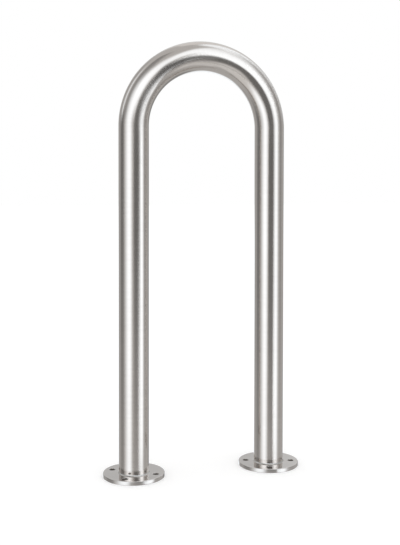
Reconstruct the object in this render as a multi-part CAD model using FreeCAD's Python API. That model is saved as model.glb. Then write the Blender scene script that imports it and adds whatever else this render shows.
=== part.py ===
import FreeCAD, Part
import os

# Hoop bike rack: one tube bent into an inverted U, welded at each foot into a round base plate.
# Millimetres, +Z up. The origin lies on the ground, midway between the two legs.
# X runs from the left leg to the right leg, and Y goes through the hoop.

# Driving dimensions: hoop
tube_od = 60.3
tube_wall = 2.6
bend_radius = 142.0  # centreline of the half-circle bend
hoop_height = 868.0  # ground to the top of the bend

# Driving dimensions: base plates
plate_diameter = 123.0
plate_thickness = 8.0
plate_rim_round = 1.2  # rounded top edge of the rim
plate_edge_break = 0.6  # chamfer round the underside
tube_clearance = 0.15  # gap between the tube and the plate's bore, all round
tube_recess = 3.0  # tube's cut end above the ground

# Driving dimensions: anchor holes
hole_count = 4
hole_diameter = 12.0
hole_circle = 93.0
hole_deburr = 0.6  # chamfer at each hole's upper mouth
left_plate_turn = -33.0  # degrees about Z, first hole from +X
right_plate_turn = -17.0

# Driving dimensions: welds
top_weld_leg = 2.0  # fillet above the plate, along tube and plate alike
top_weld_hollow = 0.25  # how far the dressed face dips below the straight line
root_weld_depth = 2.0  # seal weld under the tube's cut end
root_weld_hollow = 0.5  # how far its middle dips upwards

# Worked out from the driving dimensions
tube_radius = tube_od / 2
tube_bore_radius = tube_radius - tube_wall
bend_centre_z = hoop_height - tube_radius - bend_radius
plate_radius = plate_diameter / 2
plate_bore_radius = tube_radius + tube_clearance

up = FreeCAD.Vector(0, 0, 1)


def at(x, z):
    """A point in the XZ plane."""
    return FreeCAD.Vector(x, 0, z)


def line(start, end):
    return Part.LineSegment(at(*start), at(*end)).toShape()


def arc(start, middle, end):
    return Part.Arc(at(*start), at(*middle), at(*end)).toShape()


def turned(edges):
    """A closed profile in the XZ plane, turned once about Z into a solid."""
    return Part.Face(Part.Wire(edges)).revolve(at(0, 0), up, 360)


def hoop_tube():
    """Left leg, half-circle bend and right leg, swept as one unbroken tube."""
    left_foot = (-bend_radius, tube_recess)
    left_shoulder = (-bend_radius, bend_centre_z)
    crown = (0, bend_centre_z + bend_radius)
    right_shoulder = (bend_radius, bend_centre_z)
    right_foot = (bend_radius, tube_recess)
    path = Part.Wire([
        line(left_foot, left_shoulder),
        arc(left_shoulder, crown, right_shoulder),
        line(right_shoulder, right_foot),
    ])
    outside = Part.Wire(Part.makeCircle(tube_radius, at(*left_foot), up))
    inside = Part.Wire(Part.makeCircle(tube_bore_radius, at(*left_foot), up))
    return path.makePipe(Part.makeFace([outside, inside], "Part::FaceMakerBullseye"))


def anchor_hole():
    """Drill for one anchor hole on the plate's centre, with the deburred upper mouth."""
    drill = Part.makeCylinder(hole_diameter / 2, plate_thickness, at(0, 0), up)
    mouth = Part.makeCone(
        hole_diameter / 2,
        hole_diameter / 2 + hole_deburr,
        hole_deburr,
        at(0, plate_thickness - hole_deburr),
        up,
    )
    return drill.fuse(mouth)


def base_plate(turn):
    """Round plate with a bore for the tube and a ring of anchor holes, turned about Z."""
    round_middle = plate_rim_round * (1 - 0.5 ** 0.5)
    rim_inner = plate_radius - plate_rim_round
    rim_lower = plate_thickness - plate_rim_round
    plate = turned([
        line((plate_bore_radius, 0), (plate_radius - plate_edge_break, 0)),
        line((plate_radius - plate_edge_break, 0), (plate_radius, plate_edge_break)),
        line((plate_radius, plate_edge_break), (plate_radius, rim_lower)),
        arc(
            (plate_radius, rim_lower),
            (plate_radius - round_middle, plate_thickness - round_middle),
            (rim_inner, plate_thickness),
        ),
        line((rim_inner, plate_thickness), (plate_bore_radius, plate_thickness)),
        line((plate_bore_radius, plate_thickness), (plate_bore_radius, 0)),
    ])
    drill = anchor_hole().translated(at(hole_circle / 2, 0))
    for number in range(hole_count):
        plate = plate.cut(drill.rotated(at(0, 0), up, turn + 360 * number / hole_count))
    return plate


def top_weld():
    """Dressed fillet weld in the corner between the tube and the plate's upper face."""
    toe = (tube_radius + top_weld_leg, plate_thickness)
    crest = (tube_radius, plate_thickness + top_weld_leg)
    dip = top_weld_leg / 2 - top_weld_hollow * 0.5 ** 0.5
    corner = (tube_radius, plate_thickness)
    return turned([
        line(corner, toe),
        arc(toe, (tube_radius + dip, plate_thickness + dip), crest),
        line(crest, corner),
    ])


def root_weld():
    """Seal weld under the tube's cut end, out to the plate's bore and clear of the ground."""
    weld_foot = tube_recess - root_weld_depth
    middle = (tube_bore_radius + plate_bore_radius) / 2
    return turned([
        line((tube_bore_radius, weld_foot), (tube_bore_radius, tube_recess)),
        line((tube_bore_radius, tube_recess), (plate_bore_radius, tube_recess)),
        line((plate_bore_radius, tube_recess), (plate_bore_radius, weld_foot)),
        arc(
            (plate_bore_radius, weld_foot),
            (middle, weld_foot + root_weld_hollow),
            (tube_bore_radius, weld_foot),
        ),
    ])


pieces = {"hoop_tube": hoop_tube()}
for side, leg_x, turn in (
    ("left", -bend_radius, left_plate_turn),
    ("right", bend_radius, right_plate_turn),
):
    pieces[side + "_base_plate"] = base_plate(turn).translated(at(leg_x, 0))
    pieces[side + "_top_weld"] = top_weld().translated(at(leg_x, 0))
    pieces[side + "_root_weld"] = root_weld().translated(at(leg_x, 0))

os.makedirs("parts", exist_ok=True)
for name, shape in pieces.items():
    shape.exportStep(os.path.join("parts", name + ".step"))
    print(name, len(shape.Solids), "solid", shape.isValid(), round(shape.Volume), "mm3")
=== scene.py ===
import math

import bmesh
import bpy
from mathutils import Matrix, Vector


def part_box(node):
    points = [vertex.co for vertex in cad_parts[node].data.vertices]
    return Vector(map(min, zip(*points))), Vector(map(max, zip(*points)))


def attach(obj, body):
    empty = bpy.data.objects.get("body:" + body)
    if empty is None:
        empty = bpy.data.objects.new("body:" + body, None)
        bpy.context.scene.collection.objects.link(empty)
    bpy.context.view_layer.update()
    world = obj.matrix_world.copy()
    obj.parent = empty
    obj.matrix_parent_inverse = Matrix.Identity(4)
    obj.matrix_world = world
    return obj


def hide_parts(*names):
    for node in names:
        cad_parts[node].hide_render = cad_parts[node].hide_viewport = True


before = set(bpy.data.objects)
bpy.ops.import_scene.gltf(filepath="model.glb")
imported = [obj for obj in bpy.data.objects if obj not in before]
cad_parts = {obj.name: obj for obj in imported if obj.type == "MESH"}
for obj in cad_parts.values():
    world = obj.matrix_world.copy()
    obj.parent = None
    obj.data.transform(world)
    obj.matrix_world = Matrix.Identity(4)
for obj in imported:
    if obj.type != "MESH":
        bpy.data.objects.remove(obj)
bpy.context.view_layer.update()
scene = bpy.context.scene
scene.view_settings.view_transform = "Standard"
print("frame loaded:", ", ".join(sorted(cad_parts)))


# small helpers for node trees
def addNode(tree, kind, **settings):
    node = tree.nodes.new(kind)
    for name, value in settings.items():
        setattr(node, name, value)
    return node


def feed(tree, socket, value):
    if isinstance(value, bpy.types.NodeSocket):
        tree.links.new(value, socket)
    else:
        socket.default_value = value


def fill(tree, node, **values):
    for name, value in values.items():
        feed(tree, node.inputs[name.replace("_", " ")], value)
    return node


def calc(tree, operation, *values):
    node = addNode(tree, "ShaderNodeMath", operation=operation)
    for socket, value in zip(node.inputs, values):
        feed(tree, socket, value)
    return node.outputs[0]


def keepWithin(tree, value, low=0.0, high=1.0):
    return calc(tree, "MINIMUM", calc(tree, "MAXIMUM", value, low), high)


def vectorCalc(tree, operation, *values):
    node = addNode(tree, "ShaderNodeVectorMath", operation=operation)
    for socket, value in zip(node.inputs, values):
        feed(tree, socket, value)
    return node.outputs[0]


def joinXyz(tree, x, y, z):
    node = addNode(tree, "ShaderNodeCombineXYZ")
    for socket, value in zip(node.inputs, (x, y, z)):
        feed(tree, socket, value)
    return node.outputs[0]


def splitXyz(tree, value):
    node = addNode(tree, "ShaderNodeSeparateXYZ")
    feed(tree, node.inputs[0], value)
    return node.outputs


def mixColours(tree, share, first, second):
    node = addNode(tree, "ShaderNodeMix", data_type="RGBA")
    feed(tree, node.inputs["Factor"], share)
    feed(tree, node.inputs["A"], (*first, 1.0) if isinstance(first, tuple) else first)
    feed(tree, node.inputs["B"], (*second, 1.0) if isinstance(second, tuple) else second)
    return node.outputs["Result"]


def rangeOf(tree, value, fromLow, fromHigh, toLow, toHigh):
    node = addNode(tree, "ShaderNodeMapRange")
    fill(tree, node, Value=value, From_Min=fromLow, From_Max=fromHigh, To_Min=toLow, To_Max=toHigh)
    return node.outputs[0]


def newTree(name, kind, inputs, outputs):
    tree = bpy.data.node_groups.new(name, kind)
    for label, socketType, *preset in inputs:
        socket = tree.interface.new_socket(label, in_out="INPUT", socket_type=socketType)
        if preset:
            socket.default_value = preset[0]
    for label, socketType in outputs:
        tree.interface.new_socket(label, in_out="OUTPUT", socket_type=socketType)
    enter = addNode(tree, "NodeGroupInput").outputs
    leave = addNode(tree, "NodeGroupOutput").inputs
    return tree, enter, leave


number = "NodeSocketFloat"
whole = "NodeSocketInt"
vector = "NodeSocketVector"
shape = "NodeSocketGeometry"
finish = "NodeSocketMaterial"


def wrapUp(tree, geometry, material, leave):
    smooth = fill(tree, addNode(tree, "GeometryNodeSetShadeSmooth", domain="FACE"), Geometry=geometry)
    real = fill(tree, addNode(tree, "GeometryNodeRealizeInstances"), Geometry=smooth.outputs[0])
    coated = addNode(tree, "GeometryNodeSetMaterial")
    fill(tree, coated, Geometry=real.outputs[0], Material=material)
    feed(tree, leave["Geometry"], coated.outputs[0])


hardFold = 0.6  # radians: a sharper fold between two faces is shaded as an edge


def growPiece(name, tree, values, mesh=None, addFinish=None, sharpAngle=hardFold):
    piece = bpy.data.objects.new(name, mesh or bpy.data.meshes.new(name))
    scene.collection.objects.link(piece)
    modifier = piece.modifiers.new("grow", "NODES")
    modifier.node_group = tree
    for item in tree.interface.items_tree:
        if item.in_out == "INPUT" and item.name in values:
            modifier[item.identifier] = values[item.name]
    if addFinish:
        addFinish(piece)
    depsgraph = bpy.context.evaluated_depsgraph_get()
    grown = bpy.data.meshes.new_from_object(
        piece.evaluated_get(depsgraph), preserve_all_data_layers=True, depsgraph=depsgraph)
    grown.set_sharp_from_angle(angle=sharpAngle)
    piece.modifiers.clear()
    blank = piece.data
    piece.data = grown
    bpy.data.meshes.remove(blank)
    grown.name = name
    return piece


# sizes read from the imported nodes
hoopLow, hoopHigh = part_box("hoop_tube")
tubeRadius = (hoopHigh.y - hoopLow.y) / 2
bendRadius = hoopHigh.x - tubeRadius
shoulderHeight = hoopHigh.z - tubeRadius - bendRadius
plateLow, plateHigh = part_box("left_base_plate")
plateRadius = (plateHigh.y - plateLow.y) / 2
plateTop = plateHigh.z
legCentres = {"left": -bendRadius, "right": bendRadius}
print("tube radius %.5f, bend %.5f, shoulder %.5f" % (tubeRadius, bendRadius, shoulderHeight))


# camera at the photo's viewing angle
cameraSet = {
    "place": (-0.5026, -1.7575, 0.5860),
    "heading": 0.2755,  # radians from +Y towards +X
    "tilt": -0.0283,
    "roll": 0.0014,
    "focalPixels": 904.7,
    "shiftPixels": -65.0,  # optical axis above the middle of the picture
    "imageHeight": 545,
    "sensor": 36.0,
    "clipStart": 0.05,
    "clipEnd": 60.0,
}


def placeCamera(made):
    lens = bpy.data.cameras.new("photoCamera")
    lens.sensor_width = made["sensor"]
    lens.lens = made["focalPixels"] / made["imageHeight"] * made["sensor"]
    lens.shift_y = made["shiftPixels"] / made["imageHeight"]
    lens.clip_start = made["clipStart"]
    lens.clip_end = made["clipEnd"]
    level = math.cos(made["tilt"])
    forward = Vector((
        math.sin(made["heading"]) * level,
        math.cos(made["heading"]) * level,
        math.sin(made["tilt"])))
    right = forward.cross(Vector((0, 0, 1))).normalized()
    up = right.cross(forward)
    rolledRight = right * math.cos(made["roll"]) + up * math.sin(made["roll"])
    rolledUp = up * math.cos(made["roll"]) - right * math.sin(made["roll"])
    turn = Matrix((rolledRight, rolledUp, -forward)).transposed()
    camera = bpy.data.objects.new("photoCamera", lens)
    camera.matrix_world = Matrix.Translation(made["place"]) @ turn.to_4x4()
    scene.collection.objects.link(camera)
    scene.camera = camera


placeCamera(cameraSet)
print("camera placed")


# shader groups shared by the steel finishes
grainSet = {
    "across": 2200.0,
    "along": 45.0,
    "blend": 0.5,  # share of the wide grain in the tone
    "fineDetail": 3.0,
    "fineRoughness": 0.6,
    "wideStretch": (0.6, 0.6, 0.11),
    "wideDetail": 2.0,
}
handlingSet = {
    "patchScale": 9.0,
    "patchDetail": 4.0,
    "patchRoughness": 0.55,
    "scuffScale": 160.0,
    "scuffDetail": 2.0,
    "scuffDistortion": 1.5,
    "scuffRange": (0.66, 0.74),  # only the peaks of the noise become scuffs
}


def makeGrainGroup(made):
    tree, enter, leave = newTree(
        "satinGrain", "ShaderNodeTree",
        [("Vector", vector), ("Across", number, made["across"]), ("Along", number, made["along"]),
         ("Blend", number, made["blend"])],
        [("Tone", number), ("Height", number)])
    x, y, z = splitXyz(tree, enter["Vector"])
    stretched = joinXyz(
        tree,
        calc(tree, "MULTIPLY", x, enter["Along"]),
        calc(tree, "MULTIPLY", y, enter["Along"]),
        calc(tree, "MULTIPLY", z, enter["Across"]))
    fine = addNode(tree, "ShaderNodeTexNoise", noise_dimensions="3D")
    fill(tree, fine, Vector=stretched, Scale=1.0,
         Detail=made["fineDetail"], Roughness=made["fineRoughness"])
    wide = addNode(tree, "ShaderNodeTexNoise", noise_dimensions="3D")
    widened = vectorCalc(tree, "MULTIPLY", stretched, made["wideStretch"])
    fill(tree, wide, Vector=widened, Scale=1.0, Detail=made["wideDetail"])
    fineShare = calc(tree, "MULTIPLY", fine.outputs[0], calc(tree, "SUBTRACT", 1.0, enter["Blend"]))
    wideShare = calc(tree, "MULTIPLY", wide.outputs[0], enter["Blend"])
    feed(tree, leave["Tone"], calc(tree, "ADD", fineShare, wideShare))
    feed(tree, leave["Height"], fine.outputs[0])
    return tree


def makeHandlingGroup(made):
    tree, enter, leave = newTree(
        "handlingMarks", "ShaderNodeTree",
        [("Vector", vector), ("Patch Scale", number, made["patchScale"]),
         ("Scuff Scale", number, made["scuffScale"])],
        [("Patches", number), ("Scuffs", number)])
    patches = addNode(tree, "ShaderNodeTexNoise", noise_dimensions="3D")
    fill(tree, patches, Vector=enter["Vector"], Scale=enter["Patch Scale"],
         Detail=made["patchDetail"], Roughness=made["patchRoughness"])
    feed(tree, leave["Patches"], patches.outputs[0])
    scuffs = addNode(tree, "ShaderNodeTexNoise", noise_dimensions="3D")
    fill(tree, scuffs, Vector=enter["Vector"], Scale=enter["Scuff Scale"],
         Detail=made["scuffDetail"], Distortion=made["scuffDistortion"])
    feed(tree, leave["Scuffs"], rangeOf(tree, scuffs.outputs[0], *made["scuffRange"], 0.0, 1.0))
    return tree


grainGroup = makeGrainGroup(grainSet)
handlingGroup = makeHandlingGroup(handlingSet)


def newSteel(name):
    material = bpy.data.materials.new(name)
    material.use_nodes = True
    tree = material.node_tree
    steel = next(node for node in tree.nodes if node.type == "BSDF_PRINCIPLED")
    steel.inputs["Metallic"].default_value = 1.0
    return material, tree, steel


def useGroup(tree, group, **values):
    node = addNode(tree, "ShaderNodeGroup", node_tree=group)
    return fill(tree, node, **values).outputs


# a tone between dark and light steel, and the feeds that the finishes share
toneSet = {
    "grain": 0.6,
    "patches": 0.4,
    "dark": 0.35,  # tone at which the steel is fully dark
    "light": 0.65,
}


def blendTone(tree, grainTone, patches):
    grainShare = calc(tree, "MULTIPLY", grainTone, toneSet["grain"])
    return calc(tree, "ADD", grainShare, calc(tree, "MULTIPLY", patches, toneSet["patches"]))


def overTone(tree, tone, atDark, atLight):
    return rangeOf(tree, tone, toneSet["dark"], toneSet["light"], atDark, atLight)


def colourOver(tree, tone, dark, light):
    return mixColours(tree, overTone(tree, tone, 0.0, 1.0), dark, light)


def feedScuffed(tree, steel, tone, scuffs, made):
    rubbed = calc(tree, "MULTIPLY", scuffs, made["scuffRoughness"])
    satin = overTone(tree, tone, *made["roughness"])
    feed(tree, steel.inputs["Roughness"], calc(tree, "ADD", satin, rubbed))


def feedBump(tree, steel, height, made):
    bump = addNode(tree, "ShaderNodeBump")
    fill(tree, bump, Strength=made["bump"], Distance=made["bumpDistance"], Height=height)
    feed(tree, steel.inputs["Normal"], bump.outputs[0])


# satin finish of the tube: fine rings of grain round it, read from the straight-tube attribute
tubeFinish = {
    "light": (0.682, 0.640, 0.604),
    "dark": (0.625, 0.584, 0.548),
    "roughness": (0.10, 0.15),
    "scuffRoughness": 0.05,
    "grainAcross": 2300.0,
    "grainAlong": 40.0,
    "bump": 0.04,
    "bumpDistance": 0.00008,
}


def makeTubeMaterial(made):
    material, tree, steel = newSteel("satinTube")
    straight = addNode(tree, "ShaderNodeAttribute", attribute_name="straightTube").outputs["Vector"]
    grain = useGroup(
        tree, grainGroup, Vector=straight, Across=made["grainAcross"], Along=made["grainAlong"])
    marks = useGroup(tree, handlingGroup, Vector=straight)
    tone = blendTone(tree, grain["Tone"], marks["Patches"])
    feed(tree, steel.inputs["Base Color"], colourOver(tree, tone, made["dark"], made["light"]))
    feedScuffed(tree, steel, tone, marks["Scuffs"], made)
    feedBump(tree, steel, grain["Height"], made)
    return material


# satin finish of a plate: straight grain on the faces, turned lines round the rim; the faces get a lighter
# colour than the rim, a painted highlight that makes the top mirror brighter
plateFinish = {
    # face colours are raised above the rim's steel colour: painted highlight on the top faces
    "light": (0.858, 0.828, 0.803),
    "dark": (0.783, 0.755, 0.732),
    "rimLight": (0.650, 0.617, 0.588),
    "rimDark": (0.593, 0.562, 0.535),
    "roughness": (0.05, 0.09),
    "scuffRoughness": 0.08,
    "patchScale": 26.0,
    "grainAcross": 1900.0,
    "grainAlong": 35.0,
    "grainTurn": {"left": 0.5, "right": 1.1},  # radians
    "rimAcross": 2600.0,
    "rimAlong": 25.0,
    "faceSlope": (0.55, 0.8),  # upright part of the normal, from rim to face; it also picks the painted brighter face colour
    "bump": 0.05,
    "bumpDistance": 0.00008,
}


def makePlateMaterial(name, made, centreX, grainTurn):
    material, tree, steel = newSteel(name)
    place = addNode(tree, "ShaderNodeTexCoord").outputs["Object"]
    centred = addNode(tree, "ShaderNodeMapping")
    fill(tree, centred, Vector=place, Location=(-centreX, 0, 0))
    turned = addNode(tree, "ShaderNodeMapping")
    fill(tree, turned, Vector=centred.outputs[0], Rotation=(math.pi / 2, 0, grainTurn))
    straight = useGroup(
        tree, grainGroup, Vector=turned.outputs[0], Across=made["grainAcross"], Along=made["grainAlong"])
    lathe = useGroup(
        tree, grainGroup, Vector=centred.outputs[0], Across=made["rimAcross"], Along=made["rimAlong"])
    upright = splitXyz(tree, addNode(tree, "ShaderNodeNewGeometry").outputs["True Normal"])["Z"]
    flat = rangeOf(tree, calc(tree, "ABSOLUTE", upright), *made["faceSlope"], 0.0, 1.0)
    marks = useGroup(tree, handlingGroup, Vector=centred.outputs[0], Patch_Scale=made["patchScale"])
    grainTone = addNode(tree, "ShaderNodeMix")
    fill(tree, grainTone, Factor=flat, A=lathe["Tone"], B=straight["Tone"])
    grainHeight = addNode(tree, "ShaderNodeMix")
    fill(tree, grainHeight, Factor=flat, A=lathe["Height"], B=straight["Height"])
    tone = blendTone(tree, grainTone.outputs["Result"], marks["Patches"])
    # painted highlight: up-facing faces take the raised face colour, the rim keeps the steel colour
    rimColour = colourOver(tree, tone, made["rimDark"], made["rimLight"])
    paintedBrightFace = colourOver(tree, tone, made["dark"], made["light"])
    feed(tree, steel.inputs["Base Color"], mixColours(tree, flat, rimColour, paintedBrightFace))
    feedScuffed(tree, steel, tone, marks["Scuffs"], made)
    feedBump(tree, steel, grainHeight.outputs["Result"], made)
    return material


# weld beads: dressed and bright above the plate, as laid and dull below
beadFinish = {
    "dressedWeld": {"light": (0.68, 0.665, 0.645), "dark": (0.56, 0.54, 0.515), "roughness": (0.16, 0.28)},
    "rootWeld": {"light": (0.52, 0.50, 0.47), "dark": (0.36, 0.33, 0.29), "roughness": (0.34, 0.5)},
}
beadGrain = {
    "patchScale": 120.0,
    "across": 1500.0,
    "along": 300.0,
    "bump": 0.15,
    "bumpDistance": 0.0001,
}


def makeBeadMaterial(name, made):
    material, tree, steel = newSteel(name)
    place = addNode(tree, "ShaderNodeTexCoord").outputs["Object"]
    marks = useGroup(tree, handlingGroup, Vector=place, Patch_Scale=beadGrain["patchScale"])
    grain = useGroup(tree, grainGroup, Vector=place, Across=beadGrain["across"], Along=beadGrain["along"])
    tone = calc(tree, "MULTIPLY", calc(tree, "ADD", grain["Tone"], marks["Patches"]), 0.5)
    feed(tree, steel.inputs["Base Color"], colourOver(tree, tone, made["dark"], made["light"]))
    feed(tree, steel.inputs["Roughness"], overTone(tree, tone, *made["roughness"]))
    feedBump(tree, steel, grain["Height"], beadGrain)
    return material


tubeMaterial = makeTubeMaterial(tubeFinish)
plateMaterials = {}
for side, centreX in legCentres.items():
    plateMaterials[side] = makePlateMaterial(
        "satinPlate" + side.capitalize(), plateFinish, centreX, plateFinish["grainTurn"][side])
dressedMaterial = makeBeadMaterial("dressedWeld", beadFinish["dressedWeld"])
rootMaterial = makeBeadMaterial("rootWeld", beadFinish["rootWeld"])
print("finishes made")


# hoop: a ring swept up one leg, round the half-circle bend and down the other
hoopSet = {
    "legSteps": 40,
    "bendSteps": 140,
    "roundSteps": 112,
    "wall": 0.0026,
}


def makeHoopTree():
    tree, enter, leave = newTree(
        "hoopSweep", "GeometryNodeTree",
        [("Bend Radius", number), ("Tube Radius", number), ("Foot Height", number),
         ("Shoulder Height", number), ("Leg Steps", whole), ("Bend Steps", whole), ("Round Steps", whole),
         ("Finish", finish)],
        [("Geometry", shape)])
    steps = calc(tree, "MULTIPLY_ADD", enter["Leg Steps"], 2.0, enter["Bend Steps"])
    lineUp = addNode(tree, "GeometryNodeMeshLine", mode="OFFSET", count_mode="TOTAL")
    fill(tree, lineUp, Count=calc(tree, "ADD", steps, 1.0))
    step = addNode(tree, "GeometryNodeInputIndex").outputs[0]
    bendShare = calc(tree, "DIVIDE", calc(tree, "SUBTRACT", step, enter["Leg Steps"]), enter["Bend Steps"])
    turn = calc(tree, "MULTIPLY", keepWithin(tree, bendShare), math.pi)
    stepsToFoot = calc(tree, "MINIMUM", step, calc(tree, "SUBTRACT", steps, step))
    legShare = keepWithin(tree, calc(tree, "DIVIDE", stepsToFoot, enter["Leg Steps"]))
    startX = calc(tree, "MULTIPLY", enter["Bend Radius"], -1.0)
    pathX = calc(tree, "MULTIPLY", calc(tree, "COSINE", turn), startX)
    bendZ = calc(
        tree, "MULTIPLY_ADD", calc(tree, "SINE", turn), enter["Bend Radius"], enter["Shoulder Height"])
    climb = calc(tree, "SUBTRACT", bendZ, enter["Foot Height"])
    pathZ = calc(tree, "MULTIPLY_ADD", climb, legShare, enter["Foot Height"])
    path = fill(tree, addNode(tree, "GeometryNodeMeshToCurve"), Mesh=lineUp.outputs[0])
    bent = addNode(tree, "GeometryNodeSetPosition")
    fill(tree, bent, Geometry=path.outputs[0], Position=joinXyz(tree, pathX, 0.0, pathZ))
    along = addNode(tree, "GeometryNodeCaptureAttribute", domain="POINT")
    along.capture_items.new("FLOAT", "Along")
    alongLength = addNode(tree, "GeometryNodeSplineParameter").outputs["Length"]
    fill(tree, along, Geometry=bent.outputs[0], Along=alongLength)
    ring = addNode(tree, "GeometryNodeCurvePrimitiveCircle", mode="RADIUS")
    fill(tree, ring, Resolution=enter["Round Steps"], Radius=enter["Tube Radius"])
    around = addNode(tree, "GeometryNodeCaptureAttribute", domain="POINT")
    around.capture_items.new("FLOAT", "Around")
    aroundShare = addNode(tree, "GeometryNodeSplineParameter").outputs["Factor"]
    fill(tree, around, Geometry=ring.outputs[0], Around=aroundShare)
    sweep = addNode(tree, "GeometryNodeCurveToMesh")
    fill(tree, sweep, Curve=along.outputs["Geometry"], Profile_Curve=around.outputs["Geometry"])
    angle = calc(tree, "MULTIPLY", around.outputs["Around"], 2 * math.pi)
    straight = joinXyz(
        tree,
        calc(tree, "MULTIPLY", calc(tree, "COSINE", angle), enter["Tube Radius"]),
        calc(tree, "MULTIPLY", calc(tree, "SINE", angle), enter["Tube Radius"]),
        along.outputs["Along"])
    named = addNode(tree, "GeometryNodeStoreNamedAttribute", data_type="FLOAT_VECTOR", domain="POINT")
    fill(tree, named, Geometry=sweep.outputs[0], Name="straightTube", Value=straight)
    wrapUp(tree, named.outputs[0], enter["Finish"], leave)
    return tree


def addWall(piece):
    wall = piece.modifiers.new("wall", "SOLIDIFY")
    wall.thickness = hoopSet["wall"]
    wall.offset = -1.0
    wall.use_even_offset = True


hoop = growPiece("hoopTube", makeHoopTree(), {
    "Bend Radius": bendRadius,
    "Tube Radius": tubeRadius,
    "Foot Height": hoopLow.z,
    "Shoulder Height": shoulderHeight,
    "Leg Steps": hoopSet["legSteps"],
    "Bend Steps": hoopSet["bendSteps"],
    "Round Steps": hoopSet["roundSteps"],
    "Finish": tubeMaterial,
}, addFinish=addWall)
print("hoop swept:", len(hoop.data.polygons), "faces")


# base plates: a turned blank, then a ring of anchor holes drilled through it
plateSet = {
    "turnSteps": 144,
    "rimRound": 0.0012,
    "rimSteps": 5,
    "edgeBreak": 0.0006,
    "boreGap": 0.00015,
    "rimMargin": 0.0004,  # narrow flat beside the rounded edge keeps the face's shading true
    "holeCount": 4,
    "holeRadius": 0.006,
    "holeCircle": 0.0465,
    "holeDeburr": 0.0006,
    "holeSteps": 64,
    "drillLength": 4.0,  # in plate thicknesses
    "turn": {"left": math.radians(-33), "right": math.radians(-17)},
}


def turnBlank(name, made, centreX):
    bore = tubeRadius + made["boreGap"]
    inner = plateRadius - made["rimRound"]
    lower = plateTop - made["rimRound"]
    profile = [(bore, 0.0), (plateRadius - made["edgeBreak"], 0.0), (plateRadius, made["edgeBreak"])]
    for step in range(made["rimSteps"] + 1):
        angle = math.pi / 2 * step / made["rimSteps"]
        profile.append((
            inner + made["rimRound"] * math.cos(angle),
            lower + made["rimRound"] * math.sin(angle)))
    profile += [(inner - made["rimMargin"], plateTop), (bore, plateTop)]
    mesh = bpy.data.meshes.new(name)
    work = bmesh.new()
    rings = []
    for step in range(made["turnSteps"]):
        angle = 2 * math.pi * step / made["turnSteps"]
        rings.append([
            work.verts.new((centreX + radius * math.cos(angle), radius * math.sin(angle), height))
            for radius, height in profile])
    for step, ring in enumerate(rings):
        following = rings[(step + 1) % len(rings)]
        for point in range(len(profile)):
            after = (point + 1) % len(profile)
            work.faces.new((ring[point], following[point], following[after], ring[after]))
    bmesh.ops.recalc_face_normals(work, faces=work.faces)
    work.to_mesh(mesh)
    work.free()
    return mesh


def makeDrillTree(made):
    tree, enter, leave = newTree(
        "anchorHoles", "GeometryNodeTree",
        [("Geometry", shape), ("Hole Count", whole), ("Hole Circle", number), ("Hole Radius", number),
         ("Deburr", number), ("Turn", number), ("Centre X", number), ("Plate Top", number),
         ("Finish", finish)],
        [("Geometry", shape)])
    spots = addNode(tree, "GeometryNodeCurvePrimitiveCircle", mode="RADIUS")
    fill(tree, spots, Resolution=enter["Hole Count"], Radius=enter["Hole Circle"])
    placed = addNode(tree, "GeometryNodeTransform")
    fill(tree, placed, Geometry=spots.outputs[0], Translation=joinXyz(tree, enter["Centre X"], 0.0, 0.0),
         Rotation=joinXyz(tree, 0.0, 0.0, enter["Turn"]))
    drill = addNode(tree, "GeometryNodeMeshCylinder", fill_type="NGON")
    drillLength = calc(tree, "MULTIPLY", enter["Plate Top"], made["drillLength"])
    fill(tree, drill, Vertices=made["holeSteps"], Radius=enter["Hole Radius"], Depth=drillLength)
    mouthDepth = calc(tree, "MULTIPLY", enter["Deburr"], 2.0)
    mouthTop = calc(tree, "ADD", enter["Hole Radius"], mouthDepth)
    mouth = addNode(tree, "GeometryNodeMeshCone", fill_type="NGON")
    fill(tree, mouth, Vertices=made["holeSteps"], Radius_Top=mouthTop, Radius_Bottom=enter["Hole Radius"],
         Depth=mouthDepth)
    raised = addNode(tree, "GeometryNodeTransform")
    fill(tree, raised, Geometry=mouth.outputs[0], Translation=joinXyz(
        tree, 0.0, 0.0, calc(tree, "SUBTRACT", enter["Plate Top"], enter["Deburr"])))
    worked = enter["Geometry"]
    for cutter in (drill.outputs[0], raised.outputs[0]):
        copies = addNode(tree, "GeometryNodeInstanceOnPoints")
        fill(tree, copies, Points=placed.outputs[0], Instance=cutter)
        real = fill(tree, addNode(tree, "GeometryNodeRealizeInstances"), Geometry=copies.outputs[0])
        cut = addNode(tree, "GeometryNodeMeshBoolean", operation="DIFFERENCE", solver="EXACT")
        feed(tree, cut.inputs[0], worked)
        feed(tree, cut.inputs[1], real.outputs[0])
        worked = cut.outputs[0]
    wrapUp(tree, worked, enter["Finish"], leave)
    return tree


drillTree = makeDrillTree(plateSet)
plates = {}
for side, centreX in legCentres.items():
    name = side + "BasePlate"
    plates[side] = growPiece(name, drillTree, {
        "Hole Count": plateSet["holeCount"],
        "Hole Circle": plateSet["holeCircle"],
        "Hole Radius": plateSet["holeRadius"],
        "Deburr": plateSet["holeDeburr"],
        "Turn": plateSet["turn"][side],
        "Centre X": centreX,
        "Plate Top": plateTop,
        "Finish": plateMaterials[side],
    }, mesh=turnBlank(name, plateSet, centreX))
    print(name, "drilled:", len(plates[side].data.polygons), "faces")


# weld beads: a rippled face run round the leg, closed at the back against tube and plate
beadSet = {
    "top": {
        "bulge": -0.00025,  # dressed slightly hollow
        "ripples": 84,
        "rippleHeight": 0.00010,
        "bow": 0.35,
        "seed": 3.1,
    },
    "root": {
        "bulge": -0.0004,
        "ripples": 62,
        "rippleHeight": 0.00016,
        "bow": 0.5,
        "seed": 7.7,
    },
    "stepsPerRipple": 6,
    "faceSteps": 8,
    "wander": 1.4,  # unevenness of the ripples
    "wanderScale": 5.0,
    "wanderDetail": 2.0,
    "seamGap": 1e-6,  # points closer than this are one
    "sharpAngle": 0.9,  # radians
}


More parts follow.
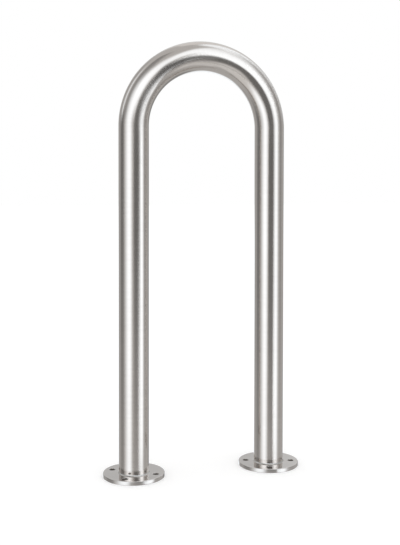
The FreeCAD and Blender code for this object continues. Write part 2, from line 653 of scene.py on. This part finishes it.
# the rows of the grid are back A, the face, back B and back A again
def makeBeadTree(made):
    tree, enter, leave = newTree(
        "weldBead", "GeometryNodeTree",
        [("Centre X", number), ("Start", vector), ("End", vector), ("Back A", vector), ("Back B", vector),
         ("Face Way", vector), ("Bulge", number), ("Ripples", whole), ("Ripple Height", number),
         ("Bow", number), ("Round Steps", whole), ("Face Steps", whole), ("Seed", number),
         ("Finish", finish)],
        [("Geometry", shape)])
    lastRow = calc(tree, "ADD", enter["Face Steps"], 3.0)
    grid = addNode(tree, "GeometryNodeMeshGrid")
    fill(tree, grid, Size_X=1.0, Size_Y=1.0, Vertices_X=calc(tree, "ADD", enter["Round Steps"], 1.0),
         Vertices_Y=calc(tree, "ADD", lastRow, 1.0))
    place = splitXyz(tree, addNode(tree, "GeometryNodeInputPosition").outputs[0])
    roundShare = calc(tree, "ADD", place["X"], 0.5)
    rowShare = calc(tree, "ADD", place["Y"], 0.5)
    row = calc(tree, "MULTIPLY", rowShare, lastRow)
    face = keepWithin(tree, calc(tree, "DIVIDE", calc(tree, "SUBTRACT", row, 1.0), enter["Face Steps"]))
    crown = calc(tree, "MULTIPLY", calc(tree, "MULTIPLY", face, calc(tree, "SUBTRACT", 1.0, face)), 4.0)
    wander = addNode(tree, "ShaderNodeTexNoise", noise_dimensions="4D")
    angle = calc(tree, "MULTIPLY", roundShare, 2 * math.pi)
    circle = joinXyz(tree, calc(tree, "COSINE", angle), calc(tree, "SINE", angle), 0.0)
    fill(tree, wander, Vector=circle, W=enter["Seed"],
         Scale=made["wanderScale"], Detail=made["wanderDetail"])
    drift = calc(tree, "MULTIPLY", calc(tree, "SUBTRACT", wander.outputs[0], 0.5), made["wander"])
    phase = calc(tree, "SUBTRACT", calc(tree, "MULTIPLY", roundShare, enter["Ripples"]),
                 calc(tree, "MULTIPLY", crown, enter["Bow"]))
    wave = calc(tree, "SINE", calc(tree, "MULTIPLY", calc(tree, "ADD", phase, drift), 2 * math.pi))
    ripple = calc(tree, "MULTIPLY", wave, enter["Ripple Height"])
    swell = calc(tree, "MULTIPLY", drift, enter["Ripple Height"])
    lift = calc(tree, "MULTIPLY", crown, calc(
        tree, "ADD", enter["Bulge"], calc(tree, "ADD", ripple, swell)))
    run = addNode(tree, "ShaderNodeMix", data_type="VECTOR")
    feed(tree, run.inputs["Factor"], face)
    vectorSockets = [socket for socket in run.inputs if socket.type == "VECTOR"]
    feed(tree, vectorSockets[-2], enter["Start"])
    feed(tree, vectorSockets[-1], enter["End"])
    runOut = next(socket for socket in run.outputs if socket.type == "VECTOR")
    raisedFace = addNode(tree, "ShaderNodeVectorMath", operation="MULTIPLY_ADD")
    feed(tree, raisedFace.inputs[0], enter["Face Way"])
    feed(tree, raisedFace.inputs[1], joinXyz(tree, lift, lift, lift))
    feed(tree, raisedFace.inputs[2], runOut)
    atFirst = calc(tree, "LESS_THAN", row, 0.5)
    beyond = calc(tree, "GREATER_THAN", row, calc(tree, "SUBTRACT", lastRow, 1.5))
    atLast = calc(tree, "GREATER_THAN", row, calc(tree, "SUBTRACT", lastRow, 0.5))
    section = raisedFace.outputs[0]
    for flag, spot in ((beyond, "Back B"), (atFirst, "Back A"), (atLast, "Back A")):
        away = vectorCalc(tree, "SUBTRACT", enter[spot], section)
        scaled = addNode(tree, "ShaderNodeVectorMath", operation="MULTIPLY_ADD")
        feed(tree, scaled.inputs[0], away)
        feed(tree, scaled.inputs[1], joinXyz(tree, flag, flag, flag))
        feed(tree, scaled.inputs[2], section)
        section = scaled.outputs[0]
    sectionPlace = splitXyz(tree, section)
    ringX = calc(tree, "MULTIPLY_ADD", calc(tree, "COSINE", angle), sectionPlace["X"], enter["Centre X"])
    ringY = calc(tree, "MULTIPLY", calc(tree, "SINE", angle), sectionPlace["X"])
    shaped = addNode(tree, "GeometryNodeSetPosition")
    fill(tree, shaped, Geometry=grid.outputs[0], Position=joinXyz(tree, ringX, ringY, sectionPlace["Z"]))
    closed = addNode(tree, "GeometryNodeMergeByDistance")
    fill(tree, closed, Geometry=shaped.outputs[0], Distance=made["seamGap"])
    wrapUp(tree, closed.outputs[0], enter["Finish"], leave)
    return tree


beadTree = makeBeadTree(beadSet)


def runBead(name, made, order, centreX, section, material):
    return growPiece(name, beadTree, {
        "Centre X": centreX,
        "Start": section["start"],
        "End": section["end"],
        "Back A": section["backA"],
        "Back B": section["backB"],
        "Face Way": section["faceWay"],
        "Bulge": made["bulge"],
        "Ripples": made["ripples"],
        "Ripple Height": made["rippleHeight"],
        "Bow": made["bow"],
        "Round Steps": made["ripples"] * beadSet["stepsPerRipple"],
        "Face Steps": beadSet["faceSteps"],
        "Seed": made["seed"] + order,
        "Finish": material,
    }, sharpAngle=beadSet["sharpAngle"])


boreRadius = tubeRadius + plateSet["boreGap"]
tubeInside = tubeRadius - hoopSet["wall"]
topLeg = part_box("left_top_weld")[1].z - plateTop
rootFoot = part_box("left_root_weld")[0].z
slope = math.sqrt(0.5)
topSection = {
    "start": (tubeRadius + topLeg, 0.0, plateTop),
    "end": (tubeRadius, 0.0, plateTop + topLeg),
    "backA": (tubeRadius, 0.0, plateTop),
    "backB": (tubeRadius, 0.0, plateTop),
    "faceWay": (slope, 0.0, slope),
}
rootSection = {
    "start": (tubeInside, 0.0, rootFoot),
    "end": (boreRadius, 0.0, rootFoot),
    "backA": (tubeInside, 0.0, hoopLow.z),
    "backB": (boreRadius, 0.0, hoopLow.z),
    "faceWay": (0.0, 0.0, -1.0),
}
topBeads = {}
rootBeads = {}
for order, (side, centreX) in enumerate(legCentres.items()):
    topBeads[side] = runBead(
        side + "TopWeld", beadSet["top"], order, centreX, topSection, dressedMaterial)
    rootBeads[side] = runBead(
        side + "RootWeld", beadSet["root"], order, centreX, rootSection, rootMaterial)
    faceCounts = [len(bead.data.polygons) for bead in (topBeads[side], rootBeads[side])]
    print(side, "beads laid:", faceCounts[0], "and", faceCounts[1], "faces")


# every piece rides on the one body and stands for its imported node
def seat(piece, node):
    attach(piece, "root")
    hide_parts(node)


seat(hoop, "hoop_tube")
for side in legCentres:
    seat(plates[side], side + "_base_plate")
    seat(topBeads[side], side + "_top_weld")
    seat(rootBeads[side], side + "_root_weld")
print("pieces seated")


# stage: white surround, pale floor and the cards that the steel mirrors
stageSet = {
    "surround": 1.0,
    "floorSize": 40.0,
    "floorColour": (0.90, 0.90, 0.90),
    "floorGlow": 0.18,  # lifts the paper to white, so that only the shadow at the plates shows
    "shadeLift": 0.0002,  # height of the dim disc of painted shade under each plate, seen in the anchor holes
    "shadeLevel": 0.18,
    "shadeReach": 0.95,  # of the plate's radius
    "shadeSteps": 48,
    "tentRadius": 25.0,
    "tentUpper": 0.62,
    "tentLower": 0.55,
    "tentBlend": 0.12,
    "tentSegments": 64,
    "tentRings": 32,
}
cardEdge = {
    "steepness": 1.5,
    "margin": 1.6,  # how far a card runs past its edge, in fades
}
cardTints = {
    "daylight": (0.94, 1.0, 1.06),
    "neutral": (1.0, 1.0, 1.0),
}
# each card stands upright, facing the hoop: turn in degrees from the front towards +X, sizes in metres
studioCards = {
    "bendFlag": {
        "turn": 0, "away": 0.09, "slide": -0.05, "half": 0.037, "low": 0.77, "high": 0.83,
        "level": 0.12, "tint": "neutral", "sideFade": 0.012, "footFade": 0.1, "headFade": 0.02},
    "bendScreen": {
        "turn": 0, "away": 0.09, "slide": 0.05, "half": 0.02, "low": 0.742, "high": 0.778,
        "level": 0.74, "tint": "neutral", "sideFade": 0.01, "footFade": 0.012, "headFade": 0.012},
    "rightNearFlag": {
        "turn": 70, "away": 0.72, "slide": 0.17, "half": 0.12, "low": 0.15, "high": 1.4,
        "level": 0.34, "tint": "neutral", "sideFade": 0.12, "footFade": 0.4, "headFade": 0.6},
    "rightNearScreen": {
        "turn": 70, "away": 0.74, "slide": 0.45, "half": 0.6, "low": -4.0, "high": 1.4,
        "level": 0.52, "tint": "neutral", "sideFade": 0.16, "footFade": 0.2, "headFade": 0.6},
    "frontTallFlag": {
        "turn": 26, "away": 0.98, "slide": -0.46, "half": 0.3, "low": 0.1, "high": 0.92,
        "level": 0.19, "tint": "neutral", "sideFade": 0.1, "footFade": 0.65, "headFade": 0.12},
    "frontFlag": {
        "turn": 26, "away": 1.0, "slide": -0.45, "half": 0.52, "low": 0.1, "high": 0.82,
        "level": 0.19, "tint": "neutral", "sideFade": 0.22, "footFade": 0.65, "headFade": 0.1},
    "frontLowScreen": {
        "turn": 26, "away": 1.05, "slide": -0.57, "half": 0.4, "low": -0.5, "high": 0.2,
        "level": 0.5, "tint": "neutral", "sideFade": 0.22, "footFade": 0.15, "headFade": 0.3},
    "frontRightSoftbox": {
        "turn": 55, "away": 1.3, "slide": -1.3, "half": 1.25, "low": 1.5, "high": 3.1,
        "level": 1.6, "tint": "daylight", "sideFade": 1.2, "footFade": 0.3, "headFade": 0.75},
    "frontSoftbox": {
        "turn": -10, "away": 2.1, "slide": -0.7, "half": 0.9, "low": 1.1, "high": 2.8,
        "level": 1.75, "tint": "daylight", "sideFade": 0.5, "footFade": 0.3, "headFade": 0.85},
    "leftSoftbox": {
        "turn": -68, "away": 2.5, "slide": 0.9, "half": 1.0, "low": -1.4, "high": 2.7,
        "level": 1.72, "tint": "daylight", "sideFade": 0.9, "footFade": 1.0, "headFade": 1.6},
    "leftStrip": {
        "turn": -118, "away": 2.75, "slide": 0.0, "half": 0.28, "low": 1.25, "high": 4.0,
        "level": 1.2, "tint": "daylight", "sideFade": 0.15, "footFade": 0.35, "headFade": 1.0},
    "leftHighScreen": {
        "turn": -52, "away": 2.9, "slide": -1.5, "half": 1.8, "low": 1.2, "high": 13.0,
        "level": 0.32, "tint": "neutral", "sideFade": 1.2, "footFade": 0.5, "headFade": 1.5},
    "leftFlag": {
        "turn": -114, "away": 3.2, "slide": 0.25, "half": 1.2, "low": -0.8, "high": 1.5,
        "level": 0.14, "tint": "neutral", "sideFade": 0.7, "footFade": 2.5, "headFade": 0.55},
    "rightHighSoftbox": {
        "turn": 90, "away": 3.7, "slide": 0.45, "half": 2.75, "low": 3.0, "high": 18.0,
        "level": 1.4, "tint": "daylight", "sideFade": 1.2, "footFade": 0.8, "headFade": 6.0},
    "rightFarSoftbox": {
        "turn": 83, "away": 4.6, "slide": 1.4, "half": 3.5, "low": 1.35, "high": 4.3,
        "level": 1.9, "tint": "daylight", "sideFade": 0.25, "footFade": 0.2, "headFade": 0.25},
    "rearHighScreen": {
        "turn": 142, "away": 4.3, "slide": 1.0, "half": 2.5, "low": 3.3, "high": 25.0,
        "level": 0.85, "tint": "neutral", "sideFade": 0.35, "footFade": 1.0, "headFade": 0.5},
    "rightFlag": {
        "turn": 137, "away": 4.8, "slide": 0.0, "half": 1.0, "low": -3.5, "high": 1.2,
        "level": 0.3, "tint": "neutral", "sideFade": 0.3, "footFade": 1.0, "headFade": 0.4},
    "backFlag": {
        "turn": -150, "away": 5.0, "slide": 0.0, "half": 1.0, "low": -3.0, "high": 6.0,
        "level": 0.45, "tint": "neutral", "sideFade": 0.4, "footFade": 1.0, "headFade": 1.0},
    "backSoftbox": {
        "turn": 172, "away": 5.2, "slide": 0.0, "half": 1.6, "low": -3.2, "high": 0.3,
        "level": 1.35, "tint": "daylight", "sideFade": 0.6, "footFade": 0.8, "headFade": 0.3},
    "backScreen": {
        "turn": 165, "away": 6.0, "slide": 0.3, "half": 1.05, "low": 0.75, "high": 3.6,
        "level": 0.52, "tint": "neutral", "sideFade": 0.5, "footFade": 0.3, "headFade": 0.6},
    "lowScreen": {
        "turn": -26, "away": 7.0, "slide": -1.5, "half": 9.0, "low": -25.0, "high": -3.5,
        "level": 0.8, "tint": "neutral", "sideFade": 1.2, "footFade": 1.0, "headFade": 0.8},
    "rightLowScreen": {
        "turn": 45, "away": 7.0, "slide": 0.0, "half": 6.0, "low": -25.0, "high": -4.3,
        "level": 0.75, "tint": "neutral", "sideFade": 1.2, "footFade": 1.0, "headFade": 0.8},
    "rightSoftbox": {
        "turn": 43, "away": 14.0, "slide": 0.0, "half": 7.7, "low": -4.75, "high": 11.0,
        "level": 1.68, "tint": "daylight", "sideFade": 0.1, "footFade": 0.5, "headFade": 4.0},
}


def setSurround(made):
    world = bpy.data.worlds.new("studioSurround")
    world.use_nodes = True
    world.node_tree.nodes["Background"].inputs["Color"].default_value = (1.0, 1.0, 1.0, 1.0)
    world.node_tree.nodes["Background"].inputs["Strength"].default_value = made["surround"]
    world.cycles.sampling_method = "NONE"  # the world must not light the steel through the cards
    scene.world = world


# only mirror rays see the cards and the tent
def onlyMirrored(screen):
    screen.visible_camera = False
    screen.visible_diffuse = False
    screen.visible_transmission = False
    screen.visible_volume_scatter = False
    screen.visible_shadow = False
    scene.collection.objects.link(screen)


def glowMaterial(name):
    material = bpy.data.materials.new(name)
    material.use_nodes = True
    material.cycles.emission_sampling = "NONE"
    tree = material.node_tree
    tree.nodes.clear()
    return material, tree, addNode(tree, "ShaderNodeOutputMaterial").inputs["Surface"]


def fadeAt(tree, distance, fade):
    ramp = calc(tree, "TANH", calc(tree, "MULTIPLY", distance, cardEdge["steepness"] / fade))
    return calc(tree, "MULTIPLY_ADD", ramp, 0.5, 0.5)


def sheetMesh(name, corners, material):
    mesh = bpy.data.meshes.new(name)
    mesh.from_pydata(corners, [], [tuple(range(len(corners)))])
    mesh.materials.append(material)
    return mesh


def standCard(name, made):
    material, tree, surface = glowMaterial(name)
    place = splitXyz(tree, addNode(tree, "ShaderNodeTexCoord").outputs["Object"])
    fromSide = calc(tree, "SUBTRACT", made["half"], calc(tree, "ABSOLUTE", place["X"]))
    sides = fadeAt(tree, fromSide, made["sideFade"])
    foot = fadeAt(tree, calc(tree, "SUBTRACT", place["Z"], made["low"]), made["footFade"])
    head = fadeAt(tree, calc(tree, "SUBTRACT", made["high"], place["Z"]), made["headFade"])
    cover = calc(tree, "MULTIPLY", sides, calc(tree, "MULTIPLY", foot, head))
    tint = (*cardTints[made["tint"]], 1.0)
    glow = fill(tree, addNode(tree, "ShaderNodeEmission"), Color=tint, Strength=made["level"])
    clear = addNode(tree, "ShaderNodeBsdfTransparent")
    mixed = addNode(tree, "ShaderNodeMixShader")
    for socket, value in zip(mixed.inputs, (cover, clear.outputs[0], glow.outputs[0])):
        feed(tree, socket, value)
    feed(tree, surface, mixed.outputs[0])
    reach = made["half"] + made["sideFade"] * cardEdge["margin"]
    low = made["low"] - made["footFade"] * cardEdge["margin"]
    high = made["high"] + made["headFade"] * cardEdge["margin"]
    corners = [(-reach, 0, low), (reach, 0, low), (reach, 0, high), (-reach, 0, high)]
    card = bpy.data.objects.new(name, sheetMesh(name, corners, material))
    turn = math.radians(made["turn"])
    outward = Vector((math.sin(turn), -math.cos(turn), 0))
    along = Vector((math.cos(turn), math.sin(turn), 0))
    card.location = outward * made["away"] + along * made["slide"]
    card.rotation_euler = (0, 0, turn)
    onlyMirrored(card)


def raiseTent(made):
    material, tree, surface = glowMaterial("studioTent")
    place = addNode(tree, "ShaderNodeTexCoord").outputs["Object"]
    rise = calc(tree, "DIVIDE", splitXyz(tree, place)["Z"], made["tentRadius"])
    share = fadeAt(tree, rise, made["tentBlend"])
    level = calc(tree, "MULTIPLY_ADD", share, made["tentUpper"] - made["tentLower"], made["tentLower"])
    glow = fill(tree, addNode(tree, "ShaderNodeEmission"), Strength=level)
    feed(tree, surface, glow.outputs[0])
    mesh = bpy.data.meshes.new("studioTent")
    work = bmesh.new()
    bmesh.ops.create_uvsphere(
        work, u_segments=made["tentSegments"], v_segments=made["tentRings"], radius=made["tentRadius"])
    work.to_mesh(mesh)
    work.free()
    mesh.materials.append(material)
    onlyMirrored(bpy.data.objects.new("studioTent", mesh))


def layFloor(made):
    half = made["floorSize"] / 2
    corners = [(-half, -half, 0), (half, -half, 0), (half, half, 0), (-half, half, 0)]
    material, tree, surface = glowMaterial("floorPaper")
    paper = addNode(tree, "ShaderNodeBsdfDiffuse")
    paper.inputs["Color"].default_value = (*made["floorColour"], 1.0)
    glow = fill(tree, addNode(tree, "ShaderNodeEmission"), Strength=made["floorGlow"])
    lifted = addNode(tree, "ShaderNodeAddShader")
    feed(tree, lifted.inputs[0], paper.outputs[0])
    feed(tree, lifted.inputs[1], glow.outputs[0])
    feed(tree, surface, lifted.outputs[0])
    floor = bpy.data.objects.new("studioFloor", sheetMesh("studioFloor", corners, material))
    floor.visible_glossy = False
    floor.visible_shadow = False
    scene.collection.objects.link(floor)


# painted shade: a dim glowing disc under each plate stands for the shaded floor seen through the anchor
# holes
def layShade(side, centreX, made):
    name = side + "Shade"
    mesh = bpy.data.meshes.new(name)
    work = bmesh.new()
    bmesh.ops.create_circle(
        work, cap_ends=True, segments=made["shadeSteps"], radius=plateRadius * made["shadeReach"],
        matrix=Matrix.Translation((centreX, 0, made["shadeLift"])))
    work.to_mesh(mesh)
    work.free()
    material, tree, surface = glowMaterial(name)
    glow = fill(tree, addNode(tree, "ShaderNodeEmission"), Strength=made["shadeLevel"])
    feed(tree, surface, glow.outputs[0])
    mesh.materials.append(material)
    shade = bpy.data.objects.new(name, mesh)
    scene.collection.objects.link(shade)


setSurround(stageSet)
layFloor(stageSet)
for side, centreX in legCentres.items():
    layShade(side, centreX, stageSet)
raiseTent(stageSet)
for name, made in studioCards.items():
    standCard(name, made)
print("stage set:", len(studioCards), "cards")
